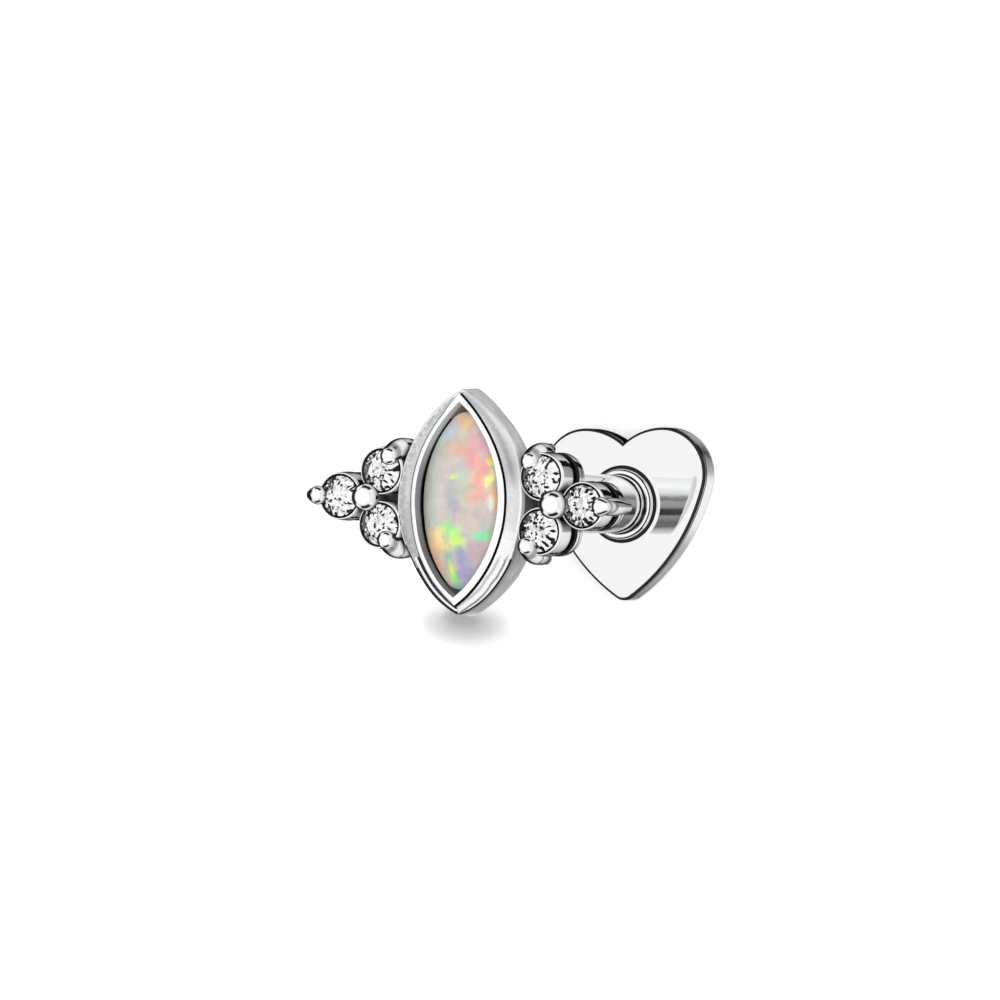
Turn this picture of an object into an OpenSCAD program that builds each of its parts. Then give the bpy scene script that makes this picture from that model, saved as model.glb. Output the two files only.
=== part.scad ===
// Flat back cartilage stud: a marquise opal in a bezel between two
// trefoils of round stones, on a straight post with a heart shaped flat back.
// Millimetres. The stud stands on the flat back of its heart: the post's
// axis is Z, the heart's back is z = 0, the marquise's long axis is Y.

/* [Heart back] */
// Thickness of the heart plate
heart_t = 0.5; // [0.4:0.05:0.7]
// Radius of the heart's round lobes
lobe_r = 0.96; // [0.9:0.01:1]
// Distance from the heart's middle to the centre of each lobe
lobe_x = 0.87; // [0.84:0.01:0.9]
// Height of the lobe centres above the post's axis, seen from the front
lobe_y = 0.6; // [0.55:0.01:0.65]
// Height of the notch between the lobes
notch_y = 1.19; // [1.15:0.01:1.25]
// Radius of the long curved sides
side_r = 4; // [3.8:0.1:4.4]
// Angle below the lobe centre at which a lobe runs into its side
side_angle = 15.5; // [14:0.5:17]
// Radius of the heart's rounded tip
tip_r = 0.2; // [0.15:0.01:0.3]

/* [Post] */
// Diameter of the post, 16 gauge
post_d = 1.2; // [1:0.1:1.3]
// Length of the post between the heart and the head
wear_length = 6; // [5:1:10]
// Diameter of the rounded collar where the post meets the heart
collar_d = 1.47; // [1.4:0.01:1.6]
// Height of the collar
collar_h = 0.16; // [0.12:0.01:0.2]

/* [Pin] */
// Diameter of the pin that holds the head in the post
pin_d = 0.6; // [0.5:0.05:0.7]
// Length of the pin
pin_length = 3.6; // [3:0.1:4]

/* [Bezel] */
// Depth of the whole head, from the rim to its back
head_h = 1.05; // [1:0.05:1.2]
// Half width of the opening that shows the opal
open_a = 0.89; // [0.85:0.01:0.92]
// Half length of the opening
open_h = 1.88; // [1.84:0.01:1.92]
// Width of the rim around the opening
rim_w = 0.125; // [0.1:0.005:0.13]
// Height by which the rim stands above the shoulder
rim_step = 0.07; // [0.06:0.01:0.1]
// Fall of the rim's top from its inner to its outer edge
rim_fall = 0.035; // [0.02:0.005:0.05]
// Half width of the bezel's body
body_a = 1.34; // [1.33:0.01:1.37]
// Half length of the bezel's body
body_h = 2.25; // [2.22:0.01:2.28]
// Distance by which the body's middle lies below the opening's, seen from the front
body_drop = 0.05; // [0:0.01:0.06]
// Depth over which the shoulder slopes outwards
shoulder_h = 0.11; // [0.09:0.01:0.16]
// Radius of the rounded back edge of the body
back_r = 0.1; // [0.06:0.01:0.12]
// Thickness of the floor under the opal
floor_t = 0.25; // [0.2:0.01:0.3]

/* [Opal] */
// Half length of the opal between its rounded ends
opal_h = 1.76; // [1.72:0.01:1.8]
// Depth of the dome's edge below the rim
opal_sink = 0.28; // [0.24:0.01:0.32]
// Height of the dome
dome_h = 0.26; // [0.2:0.01:0.28]

/* [Trefoils] */
// Distance from the post's axis to the middle of a trefoil
trefoil_x = 2.074; // [2.06:0.002:2.09]
// Distance from the middle of a trefoil to each of its stones
trefoil_r = 0.61; // [0.6:0.005:0.62]
// Diameter of a round stone
stone_d = 0.8; // [0.76:0.01:0.82]
// Height of the stones' girdle above the head's back
girdle_z = 0.93; // [0.9:0.01:0.95]
// Outer radius of a setting cup at its widest
cup_r = 0.485; // [0.475:0.005:0.495]
// Radius of the bead in the middle of a trefoil
bead_r = 0.28; // [0.26:0.01:0.3]
// Height of that bead's centre above the head's back
bead_z = 0.98; // [0.95:0.01:1]
// Radius of the ball at the tip of an inner claw
claw_r = 0.18; // [0.16:0.01:0.19]
// Radius of the ball at the tip of the outer claw
outer_claw_r = 0.2; // [0.18:0.01:0.22]

/* [Hidden] */
$fn = 96;
eps = 0.01;
gap = 0.02;
big = 10;

// Radius and centre offset of the arc of a lens from its half width and half length
function lens_r(a, h) = (a * a + h * h) / (2 * a);
function lens_c(a, h) = lens_r(a, h) - a;

head_z = heart_t + wear_length;

// Heart outline: side arcs tangent inside to the lobes and to the tip
side_x = lobe_x - (side_r - lobe_r) * cos(side_angle);
side_y = lobe_y + (side_r - lobe_r) * sin(side_angle);
tip_y = side_y - sqrt(pow(side_r - tip_r, 2) - side_x * side_x);
tip_angle = atan2(tip_y - side_y, -side_x);
top_y = lobe_y + lobe_r;
brow_drop = top_y - notch_y;
brow_r = (lobe_x * lobe_x + brow_drop * brow_drop) / (2 * brow_drop);

// Post and collar radii
post_r = post_d / 2;
collar_r = collar_d / 2;
swell = collar_r - post_r;

// Bezel lenses: the opening and its rim share one arc centre, the body has its own
open_r = lens_r(open_a, open_h);
open_c = lens_c(open_a, open_h);
rim_r = open_r + rim_w;
body_r = lens_r(body_a, body_h);
body_c = lens_c(body_a, body_h);
shoulder_w = body_a - open_a - rim_w;
shoulder_top = head_h - rim_fall - rim_step;
shoulder_foot = shoulder_top - shoulder_h;

// Opal: a lens with rounded ends under a dome turned about a line along Y
opal_fn = 180;
opal_a = open_a - gap;
opal_r = open_r - gap;
opal_end_r = (opal_r * opal_r - open_c * open_c - opal_h * opal_h) / (2 * (opal_r - opal_h));
opal_end_y = opal_h - opal_end_r;
opal_cut_y = opal_end_y * opal_r / (opal_r - opal_end_r);
opal_girdle = head_h - opal_sink;
dome_r = (opal_a * opal_a + dome_h * dome_h) / (2 * dome_h);
dome_k = dome_r - dome_h;
dome_long_r = (opal_h * opal_h + dome_h * dome_h) / (2 * dome_h);

// Round stone: shares of its diameter, then sizes
table_share = 0.56;
star_share = 0.79;
lower_share = 0.26;
crown_share = 0.15;
girdle_share = 0.02;
pavilion_share = 0.425;
mains = 8;
half_step = 360 / mains / 2;
stone_r = stone_d / 2;
table_r = stone_r * table_share;
star_r = stone_r * star_share;
lower_r = stone_r * lower_share;
crown_h = stone_d * crown_share;
girdle_t = stone_d * girdle_share;
pavilion_h = stone_d * pavilion_share;
crown_foot = girdle_z + girdle_t;
culet_z = girdle_z - pavilion_h;

// Setting cup, from the back: rail, groove, wall and lip
chamfer = 0.08;
rail_inset = 0.005;
groove_depth = 0.085;
lip_inset = 0.03;
cup_bore_r = 0.2;
rail_high = 0.29;
groove_high = 0.5;
rail_r = cup_r - rail_inset;
groove_r = cup_r - groove_depth;
lip_r = cup_r - lip_inset;
seat_r = stone_r + gap;
crown_clear = 0.035;

// Places of the stones, claws and bar in the right trefoil
inner_angle = 120;
stone_angles = [0, inner_angle, -inner_angle];
claw_tip = [1.555, 0.82, 1.03];
claw_foot = [1.54, 1.03, 0.14];
claw_foot_r = 0.14;
outer_tip = [3.17, 0, 1.03];
outer_foot = [3.22, 0, 0.14];
outer_foot_r = 0.14;
neck_share = 0.96;
bead_post_r = 0.19;
bar_x = 1.15;
bar_w = 0.18;
bar_low = 0.1;
bar_high = 0.46;

silver = [0.86, 0.87, 0.88];
opal_tint = [0.9, 0.82, 0.76];
stone_tint = [0.94, 0.96, 0.98];

// Right half of the heart: brow arc, lobe, side arc and rounded tip
module heart_half() {
    // under the brow arc, from the notch to the top of the lobe
    intersection() {
        translate([lobe_x, top_y - brow_r]) circle(brow_r);
        translate([0, lobe_y]) square([lobe_x, lobe_r]);
    }
    translate([lobe_x, lobe_y]) circle(lobe_r);
    // inside the side arc, from the lobe to the tip
    intersection() {
        translate([side_x, side_y]) circle(side_r);
        polygon([
            [0, lobe_y + eps],
            [lobe_x, lobe_y + eps],
            [side_x + big * cos(side_angle), side_y - big * sin(side_angle)],
            [side_x + big * cos(tip_angle), side_y + big * sin(tip_angle)],
            [0, tip_y]
        ]);
    }
}

module heart_outline() {
    for (side = [0, 1])
        mirror([side, 0]) intersection() {
            heart_half();
            translate([0, -big]) square([big, 2 * big]);
        }
    translate([0, tip_y]) circle(tip_r);
}

// Half section of the post and its rounded collar
module post_profile() {
    square([post_r, head_z - gap]);
    square([collar_r, heart_t + collar_h - swell]);
    translate([post_r, heart_t + collar_h - swell]) circle(swell);
}

module heart_back() {
    color(silver) difference() {
        union() {
            linear_extrude(heart_t) heart_outline();
            rotate_extrude() post_profile();
        }
        // bore for the pin
        translate([0, 0, head_z - pin_length - gap])
            cylinder(h = pin_length + gap, d = pin_d + 2 * gap);
    }
}

// A solid whose section at every height is a lens: two turned solids,
// each about its own axis, cut each other
module lens_solid(c) {
    intersection() {
        translate([-c, 0, 0]) rotate_extrude() children();
        translate([c, 0, 0]) rotate_extrude() children();
    }
}

// The body's flat back, rounded back edge, side wall and sloped shoulder
module body_profile() {
    difference() {
        polygon([
            [0, 0],
            [body_r, 0],
            [body_r, shoulder_foot],
            [body_r - shoulder_w, shoulder_top],
            [0, shoulder_top]
        ]);
        difference() {
            translate([body_r - back_r, -eps]) square([back_r + eps, back_r + eps]);
            translate([body_r - back_r, back_r]) circle(back_r);
        }
    }
}

module rim_profile() {
    polygon([
        [0, floor_t],
        [rim_r, floor_t],
        [rim_r, head_h - rim_fall],
        [open_r + gap, head_h],
        [0, head_h]
    ]);
}

module pocket() {
    translate([0, 0, floor_t]) lens_solid(open_c) square([open_r, head_h]);
}

module bezel() {
    difference() {
        union() {
            translate([0, -body_drop, 0]) lens_solid(body_c) body_profile();
            lens_solid(open_c) rim_profile();
        }
        pocket();
    }
}

// Cup with a bevelled wall, a groove and a rail behind it
module cup_profile() {
    polygon([
        [cup_bore_r, 0],
        [rail_r - chamfer, 0],
        [rail_r, chamfer],
        [rail_r, rail_high],
        [groove_r, rail_high],
        [groove_r, groove_high],
        [cup_r, groove_high],
        [cup_r, groove_high + chamfer],
        [lip_r, crown_foot],
        [cup_bore_r, crown_foot]
    ]);
}

// Room for a stone: its seat, its crown and the bore under it
module stone_room() {
    rotate_extrude() polygon([
        [0, culet_z - gap],
        [gap, culet_z - gap],
        [seat_r, girdle_z - gap],
        [seat_r, crown_foot + gap],
        [table_r, crown_foot + crown_h + crown_clear],
        [0, crown_foot + crown_h + crown_clear]
    ]);
    translate([0, 0, -eps]) cylinder(h = girdle_z, r = cup_bore_r);
}

// Tapering claw from a foot up to a ball
module claw(tip, tip_ball_r, foot, foot_ball_r) {
    reach = tip - foot;
    lean = norm([reach[0], reach[1]]);
    translate(tip) sphere(tip_ball_r);
    translate(foot) {
        sphere(foot_ball_r);
        rotate([0, atan2(lean, reach[2]), atan2(reach[1], reach[0])])
            cylinder(h = norm(reach), r1 = foot_ball_r, r2 = tip_ball_r * neck_share);
    }
}

// Where a stone of the right trefoil sits, by its angle about the bead
function stone_at(angle) =
    [trefoil_x + trefoil_r * cos(angle), trefoil_r * sin(angle), 0];

module trefoil() {
    difference() {
        union() {
            for (angle = stone_angles)
                translate(stone_at(angle)) rotate_extrude() cup_profile();
            translate([trefoil_x, 0, 0]) cylinder(h = bead_z, r = bead_post_r);
            translate([trefoil_x, 0, bead_z]) sphere(bead_r);
            for (side = [0, 1])
                mirror([0, side, 0]) claw(claw_tip, claw_r, claw_foot, claw_foot_r);
            claw(outer_tip, outer_claw_r, outer_foot, outer_foot_r);
            // bar from the bead's post to the bezel
            translate([bar_x, -bar_w / 2, bar_low])
                cube([trefoil_x - bar_x, bar_w, bar_high - bar_low]);
        }
        for (angle = stone_angles)
            translate(stone_at(angle)) stone_room();
    }
}

module head_setting() {
    color(silver) translate([0, 0, head_z]) {
        bezel();
        difference() {
            union() {
                trefoil();
                mirror([1, 0, 0]) trefoil();
            }
            pocket();
        }
        translate([0, 0, gap - pin_length])
            cylinder(h = pin_length + floor_t / 2, d = pin_d);
    }
}

module opal_outline() {
    // the lens, cut off where its rounded ends touch its sides
    intersection() {
        translate([-open_c, 0]) circle(opal_r);
        translate([open_c, 0]) circle(opal_r);
        translate([-opal_a, -opal_cut_y]) square([2 * opal_a, 2 * opal_cut_y]);
    }
    for (side = [-1, 1])
        translate([0, side * opal_end_y]) circle(opal_end_r);
}

module opal() {
    color(opal_tint) translate([0, 0, head_z])
        intersection($fn = opal_fn) {
            translate([0, 0, floor_t + gap]) linear_extrude(head_h) opal_outline();
            // the dome, turned about a line along Y
            translate([0, 0, opal_girdle - dome_k])
                rotate([90, 0, 0]) rotate_extrude() intersection() {
                    translate([dome_r - dome_long_r, 0]) circle(dome_long_r);
                    translate([0, -body_h]) square([dome_long_r, 2 * body_h]);
                }
        }
}

// One ring of points: count points at a radius and height
function ring(count, radius, height, turn) =
    [for (i = [0:count - 1])
        [radius * cos(turn + i * 360 / count), radius * sin(turn + i * 360 / count), height]];

// Brilliant cut: table, stars, kites and upper facets over the girdle,
// lower facets and pavilion mains under it
module brilliant() {
    n = mains;
    slope = crown_h / (stone_r - table_r);
    star_z = crown_foot + (stone_r - star_r * cos(half_step)) * slope;
    pavilion_slope = pavilion_h / stone_r;
    lower_z = girdle_z - (stone_r - lower_r * cos(half_step)) * pavilion_slope;
    // first index of each ring of points
    stars = n;
    tops = 2 * n;
    bottoms = 4 * n;
    lowers = 6 * n;
    culet = 7 * n;
    points = concat(
        ring(n, table_r, crown_foot + crown_h, 0),
        ring(n, star_r, star_z, half_step),
        ring(2 * n, stone_r, crown_foot, 0),
        ring(2 * n, stone_r, girdle_z, 0),
        ring(n, lower_r, lower_z, half_step),
        [[0, 0, culet_z]]
    );
    faces = concat(
        [[for (i = [n - 1:-1:0]) i]],
        [for (i = [0:n - 1]) [i, (i + 1) % n, stars + i]],
        [for (i = [0:n - 1])
            [i, stars + i, tops + 2 * i, stars + (i + n - 1) % n]],
        [for (i = [0:n - 1])
            [stars + i, tops + 2 * i + 1, tops + 2 * i]],
        [for (i = [0:n - 1])
            [stars + i, tops + (2 * i + 2) % (2 * n), tops + 2 * i + 1]],
        [for (i = [0:2 * n - 1])
            [tops + i, tops + (i + 1) % (2 * n), bottoms + (i + 1) % (2 * n), bottoms + i]],
        [for (i = [0:n - 1])
            [lowers + i, bottoms + 2 * i, bottoms + 2 * i + 1]],
        [for (i = [0:n - 1])
            [lowers + i, bottoms + 2 * i + 1, bottoms + (2 * i + 2) % (2 * n)]],
        [for (i = [0:n - 1])
            [culet, lowers + (i + n - 1) % n, bottoms + 2 * i, lowers + i]]
    );
    polyhedron(points, faces);
}

// A stone of the right trefoil by its angle, or of the left one, mirrored
module trefoil_stone(angle, left) {
    color(stone_tint) mirror([left, 0, 0]) translate([0, 0, head_z])
        translate(stone_at(angle)) brilliant();
}

heart_back();
head_setting();
opal();
trefoil_stone(inner_angle, 0);  // stone_right_upper
trefoil_stone(-inner_angle, 0);  // stone_right_lower
trefoil_stone(0, 0);  // stone_right_outer
trefoil_stone(inner_angle, 1);  // stone_left_upper
trefoil_stone(-inner_angle, 1);  // stone_left_lower
trefoil_stone(0, 1);  // stone_left_outer
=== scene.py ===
"""Looks of a flat back cartilage stud: polished white metal, a marquise opal and six
round clear stones. Lengths below are in millimetres; the meshes are scaled to metres."""

import math

import bpy
import numpy as np
from mathutils import Matrix, Vector


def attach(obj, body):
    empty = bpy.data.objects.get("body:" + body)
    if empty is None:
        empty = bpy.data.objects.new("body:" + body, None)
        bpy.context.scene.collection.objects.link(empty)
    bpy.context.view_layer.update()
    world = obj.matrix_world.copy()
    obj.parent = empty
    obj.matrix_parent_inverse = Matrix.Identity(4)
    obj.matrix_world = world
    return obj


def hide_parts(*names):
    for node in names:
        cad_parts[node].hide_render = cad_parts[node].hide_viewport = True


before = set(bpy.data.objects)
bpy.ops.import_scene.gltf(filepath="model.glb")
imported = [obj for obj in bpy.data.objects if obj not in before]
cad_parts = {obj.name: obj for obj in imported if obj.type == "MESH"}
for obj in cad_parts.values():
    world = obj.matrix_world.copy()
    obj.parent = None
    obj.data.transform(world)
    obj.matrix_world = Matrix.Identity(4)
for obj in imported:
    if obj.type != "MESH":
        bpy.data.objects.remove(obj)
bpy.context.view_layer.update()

MM = 0.001
TURN = 2 * math.pi
WHITE, BLACK = (1.0, 1.0, 1.0), (0.0, 0.0, 0.0)

# The part's own sizes: A is half a width, H a height or half a length along y, T a thickness
HEART_T = 0.5
WEAR_LENGTH = 6.0
HEAD_Z = HEART_T + WEAR_LENGTH
LOBE_R, LOBE_X, LOBE_Y = 0.96, 0.87, 0.6
NOTCH_Y = 1.25
SIDE_R, SIDE_ANGLE = 4.0, math.radians(15.5)
TIP_R = 0.3
HEART_TURN, HEART_WIDE = math.radians(2.5), 1.02
POST_R, COLLAR_R, COLLAR_H = 0.6, 0.735, 0.16
PIN_R, PIN_LENGTH = 0.3, 3.6
HEAD_H = 1.05
OPEN_A, OPEN_H = 0.89, 1.88
RIM_W, RIM_STEP, RIM_FALL = 0.125, 0.07, 0.035
BODY_A, BODY_H, BODY_DROP = 1.34, 2.25, 0.05
SHOULDER_H, BACK_R, BACK_DEEP, FLOOR_T = 0.11, 0.1, 0.35, 0.25
OPAL_H, OPAL_SINK, DOME_H = 1.76, 0.28, 0.26
TREFOIL_X, TREFOIL_R = 2.074, 0.61
STONE_R, GIRDLE_Z, GIRDLE_T = 0.4, 0.93, 0.016
CUP_R, CUP_BORE_R = 0.485, 0.2
BEAD_R, BEAD_Z, BEAD_POST_R = 0.28, 0.98, 0.19
CLAW_R, OUTER_CLAW_R = 0.18, 0.19
GAP = 0.02


def lens_r(a, h):
    return (a * a + h * h) / (2 * a)


OPEN_R = lens_r(OPEN_A, OPEN_H)
OPEN_C = OPEN_R - OPEN_A
RIM_R = OPEN_R + RIM_W
BODY_R = lens_r(BODY_A, BODY_H)
BODY_C = BODY_R - BODY_A
SHOULDER_W = BODY_A - OPEN_A - RIM_W
SHOULDER_TOP = HEAD_H - RIM_FALL - RIM_STEP


# Mesh helpers
def add_object(name, data):
    item = bpy.data.objects.new(name, data)
    bpy.context.scene.collection.objects.link(item)
    return item


class Shell:
    """Collects vertices, faces and the material of each face."""

    def __init__(self):
        self.points, self.faces, self.looks = [], [], []

    def add(self, ring):
        start = len(self.points)
        self.points.extend(tuple(float(x) for x in point) for point in ring)
        return start

    def loft(self, rings, looks, caps=()):
        """Quads between rings of equal length. A look is a material, or a function of a ring and a
        point's number that gives one. A list holds one look for each band, caps one for each end."""
        starts = [self.add(ring) for ring in rings]
        n = len(rings[0])
        for k, (a, b) in enumerate(zip(starts, starts[1:])):
            look = looks[k] if isinstance(looks, list) else looks
            for i in range(n):
                j = (i + 1) % n
                self.faces.append((a + i, a + j, b + j, b + i))
                self.looks.append(look(rings[k], i) if callable(look) else look)
        if caps:
            self.faces.append(tuple(starts[0] + i for i in reversed(range(n))))
            self.faces.append(tuple(starts[-1] + i for i in range(n)))
            self.looks.extend(caps)

    def build(self, name, materials, crease=38.0):
        """The mesh as one piece; edges sharper than crease, in degrees, stay sharp."""
        mesh = bpy.data.meshes.new(name)
        mesh.from_pydata([tuple(p) for p in np.array(self.points) * MM], [], self.faces)
        for material in materials:
            mesh.materials.append(material)
        slots = {material.name: k for k, material in enumerate(materials)}
        mesh.polygons.foreach_set("material_index", [slots[look.name] for look in self.looks])
        mesh.polygons.foreach_set("use_smooth", [True] * len(self.faces))
        mesh.validate()
        mesh.update()
        mesh.set_sharp_from_angle(angle=math.radians(crease))
        return add_object(name, mesh)


def round_profile(points, steps=5):
    """Polyline from (r, z, corner radius, look of the next stretch): corners rounded."""
    out, looks = [], []
    for i, (r, z, radius, look) in enumerate(points):
        here = np.array([r, z])
        if radius <= 0 or i in (0, len(points) - 1):
            out.append(here)
            looks.append(look)
            continue
        before = np.array(points[i - 1][:2]) - here
        after = np.array(points[i + 1][:2]) - here
        u, v = before / np.linalg.norm(before), after / np.linalg.norm(after)
        half = math.acos(max(-1, min(1, float(u @ v)))) / 2
        reach = radius / math.tan(half)
        centre = here + (u + v) / np.linalg.norm(u + v) * radius / math.sin(half)
        a, b = here + u * reach - centre, here + v * reach - centre
        turn = math.atan2(a[0] * b[1] - a[1] * b[0], float(a @ b))
        for k in range(steps + 1):
            t = turn * k / steps
            c, s = math.cos(t), math.sin(t)
            out.append(centre + np.array([c * a[0] - s * a[1], s * a[0] + c * a[1]]))
            looks.append(look)
    return out, looks


def circle_ring(radius, z, n, x=0.0, y=0.0):
    return [
        (x + radius * math.cos(TURN * i / n), y + radius * math.sin(TURN * i / n), z)
        for i in range(n)
    ]


AXIS_R = 1e-4


def lathe(shell, points, n, x=0.0, y=0.0, z=0.0):
    """Turns a rounded profile about a vertical axis. Profiles run with the metal on their left,
    and a point on the axis becomes a very small ring."""
    line, looks = round_profile(points)
    shell.loft([circle_ring(max(r, AXIS_R), up + z, n, x, y) for r, up in line], looks)


def arc_points(cx, cy, r, start, end, n):
    """n points along an arc, without the one at its end."""
    turns = [start + (end - start) * i / n for i in range(n)]
    return [(cx + r * math.cos(t), cy + r * math.sin(t)) for t in turns]


def lens_loop(c, y0, r, tip, n_side=110, n_tip=14):
    """Lens outline with rounded tips, anticlockwise: points and outward directions."""
    tip_y = math.sqrt((r - tip) ** 2 - c * c)
    beta = math.atan2(tip_y, c)
    arcs = [
        (-c, y0, r, -beta, beta, n_side),
        (0.0, y0 + tip_y, tip, beta, math.pi - beta, n_tip),
        (c, y0, r, math.pi - beta, math.pi + beta, n_side),
        (0.0, y0 - tip_y, tip, math.pi + beta, TURN - beta, n_tip),
    ]
    points, outward = [], []
    for cx, cy, arc_r, start, end, n in arcs:
        points += arc_points(cx, cy, arc_r, start, end, n)
        outward += arc_points(0.0, 0.0, 1.0, start, end, n)
    return np.array(points), np.array(outward)


def at_height(loop, z):
    z = np.broadcast_to(np.asarray(z, float), (len(loop),))
    return np.column_stack([loop, z])


# Material helpers
class Nodes:
    """Short calls for building a shader tree."""

    def __init__(self, tree):
        self.tree = tree
        tree.nodes.clear()

    def put(self, socket, value):
        """A link from another socket, or a value. A colour may come without its alpha."""
        if isinstance(value, bpy.types.NodeSocket):
            self.tree.links.new(value, socket)
        elif socket.type == "RGBA" and len(value) == 3:
            socket.default_value = (*value, 1.0)
        else:
            socket.default_value = value

    def fill(self, node, inputs):
        """Puts values into a node's inputs, by name or number."""
        for key, value in inputs.items():
            self.put(node.inputs[key], value)

    def new(self, kind, inputs=None, **settings):
        node = self.tree.nodes.new(kind)
        for key, value in settings.items():
            setattr(node, key, value)
        self.fill(node, inputs or {})
        return node

    def math(self, op, *values):
        return self.new("ShaderNodeMath", dict(enumerate(values)), operation=op).outputs[0]

    def plus(self, first, *others):
        for other in others:
            first = self.math("ADD", first, other)
        return first

    def times(self, first, *others):
        for other in others:
            first = self.math("MULTIPLY", first, other)
        return first

    def minus(self, a, b):
        return self.math("SUBTRACT", a, b)

    def hypot(self, a, b):
        return self.math("SQRT", self.plus(self.times(a, a), self.times(b, b)))

    def blend(self, share, a, b):
        """a where share is 0, b where it is 1."""
        return self.plus(self.times(a, self.minus(1.0, share)), self.times(b, share))

    def ramp(self, value, low, high, to_low=0.0, to_high=1.0, kind="SMOOTHSTEP"):
        """Runs from to_low to to_high while value runs from low to high, and holds its ends."""
        span = {"Value": value, "From Min": low, "From Max": high, "To Min": to_low, "To Max": to_high}
        return self.new("ShaderNodeMapRange", span, interpolation_type=kind).outputs["Result"]

    def peak(self, value, centre, half):
        """1 at the centre, 0 beyond half a width to either side."""
        return self.ramp(self.math("ABSOLUTE", self.minus(value, centre)), half, 0.0)

    def mix(self, factor, a, b):
        node = self.new("ShaderNodeMix", {"Factor": factor, "A": a, "B": b}, data_type="RGBA")
        return node.outputs["Result"]

    def vector(self, op, *values):
        node = self.new("ShaderNodeVectorMath", dict(enumerate(values)), operation=op)
        return node.outputs["Value" if op == "LENGTH" else "Vector"]

    def sway(self, colour, reach):
        """A random colour as a shift in x and y of up to half of reach each way."""
        return self.vector("MULTIPLY_ADD", colour, (reach, reach, 0.0), (-reach / 2, -reach / 2, 0.0))

    def split(self, vector):
        return self.new("ShaderNodeSeparateXYZ", {0: vector}).outputs

    def object_mm(self):
        """The piece's own coordinates, in millimetres."""
        where = self.new("ShaderNodeTexCoord").outputs["Object"]
        node = self.new("ShaderNodeVectorMath", {0: where, "Scale": 1 / MM}, operation="SCALE")
        return node.outputs[0]

    def noise(self, where, scale, detail=2.0, rough=0.5, squeeze=None, output="Fac"):
        if squeeze is not None:
            where = self.vector("MULTIPLY", where, squeeze)
        inputs = {"Vector": where, "Scale": scale, "Detail": detail, "Roughness": rough}
        return self.new("ShaderNodeTexNoise", inputs).outputs[output]

    def cells(self, where, scale, feature="F1"):
        """Outputs of a cell pattern."""
        return self.new("ShaderNodeTexVoronoi", {"Vector": where, "Scale": scale}, feature=feature).outputs

    def open_share(self, distance_mm):
        """Near 1 on open surfaces and near 0 in creases."""
        node = self.new("ShaderNodeAmbientOcclusion", {"Distance": distance_mm * MM}, samples=8)
        return self.ramp(node.outputs["AO"], 0.2, 0.75, 0.03, 1.0)

    def bump(self, height, strength, distance_mm):
        inputs = {"Height": height, "Strength": strength, "Distance": distance_mm * MM}
        return self.new("ShaderNodeBump", inputs).outputs["Normal"]


def new_material(name, values):
    """A material, its nodes and its one shader; values are inputs of the shader by name."""
    m = bpy.data.materials.new(name)
    m.use_nodes = True
    n = Nodes(m.node_tree)
    shader = n.new("ShaderNodeBsdfPrincipled", values)
    n.new("ShaderNodeOutputMaterial", {"Surface": shader.outputs[0]})
    return m, n, shader


# Camera
AZIMUTH, ELEVATION, ROLL = math.radians(28.6), math.radians(0.5), math.radians(2.1)
DISTANCE = 120.0
PIXELS_PER_MM = 51.5
FRAME_PIXELS = 1000.0
SENSOR = 36.0
AIM_PIXEL = (457.1, 500.8)
AIM = Vector((0, 0, HEAD_Z + HEAD_H))
CLIP = (1.0, 10000.0)


def make_camera():
    s, c = math.sin, math.cos
    out = Vector((s(AZIMUTH) * c(ELEVATION), s(ELEVATION), c(AZIMUTH) * c(ELEVATION)))
    right = Vector((c(AZIMUTH), 0, -s(AZIMUTH)))
    up = Vector((-s(AZIMUTH) * s(ELEVATION), c(ELEVATION), -c(AZIMUTH) * s(ELEVATION)))
    tilted_right = c(ROLL) * right + s(ROLL) * up
    tilted_up = -s(ROLL) * right + c(ROLL) * up
    eye = AIM + DISTANCE * out
    middle = FRAME_PIXELS / 2
    across, down = ((middle - pixel) / PIXELS_PER_MM for pixel in AIM_PIXEL)
    target = AIM + tilted_right * across - tilted_up * down
    back = (eye - target).normalized()
    side = tilted_up.cross(back).normalized()
    data = bpy.data.cameras.new("camera")
    data.sensor_width = SENSOR
    data.lens = PIXELS_PER_MM * DISTANCE * SENSOR / FRAME_PIXELS
    data.clip_start, data.clip_end = (limit * MM for limit in CLIP)
    camera = add_object("camera", data)
    turn = Matrix((side, back.cross(side), back)).transposed().to_4x4()
    camera.matrix_world = Matrix.Translation(eye * MM) @ turn
    bpy.context.scene.camera = camera


# Surroundings
FLOOR_LIGHT = 0.72
STUDIO_WHITE = 1.12
BACKDROP = 1.05
SCREEN_HEIGHT = 0.874
SCREEN_LIGHT = 1.33
KEY_TOWARD, KEY_POWER, KEY_SPREAD = (0.49, 0.07, 0.87), 1.15, math.radians(50)
FLOOR_REACH, FLOOR_GLOW = 800.0, 0.24
# Small cards over the floor that make the shadow below the head: centre, half width, half depth
SHADOW_CARDS = [((-3.9, -2.44, 0.13), 0.46, 0.15), ((-3.68, -2.66, 0.5), 1.0, 0.33)]
CARD_SIDES = 48

# Tone of the horizon and of the table below, by azimuth in degrees: 0 is +X and 90 is +Y
HORIZON_TONES = [
    (-180, 0.02), (-150, 0.02), (-142, 1.0), (-120, 1.0), (-112, 0.02), (-62, 0.02), (-54, 1.0), (-32, 1.0),
    (-24, 0.9), (24, 0.9), (32, 1.0), (54, 1.0), (62, 0.02), (112, 0.02), (120, 1.0), (142, 1.0), (150, 0.02),
    (180, 0.02),
]
TABLE_TONES = [
    (-180, 0.02), (-160, 0.03), (-150, 0.7), (-140, 0.95), (-124, 0.95), (-118, 0.03), (-108, 0.03),
    (-102, 0.8), (-70, 0.9), (-50, 1.0), (-4, 1.0), (4, 0.42), (46, 0.36), (50, 0.01), (78, 0.01),
    (83, 1.0), (124, 1.0), (138, 0.4), (155, 0.03), (180, 0.02),
]
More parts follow.
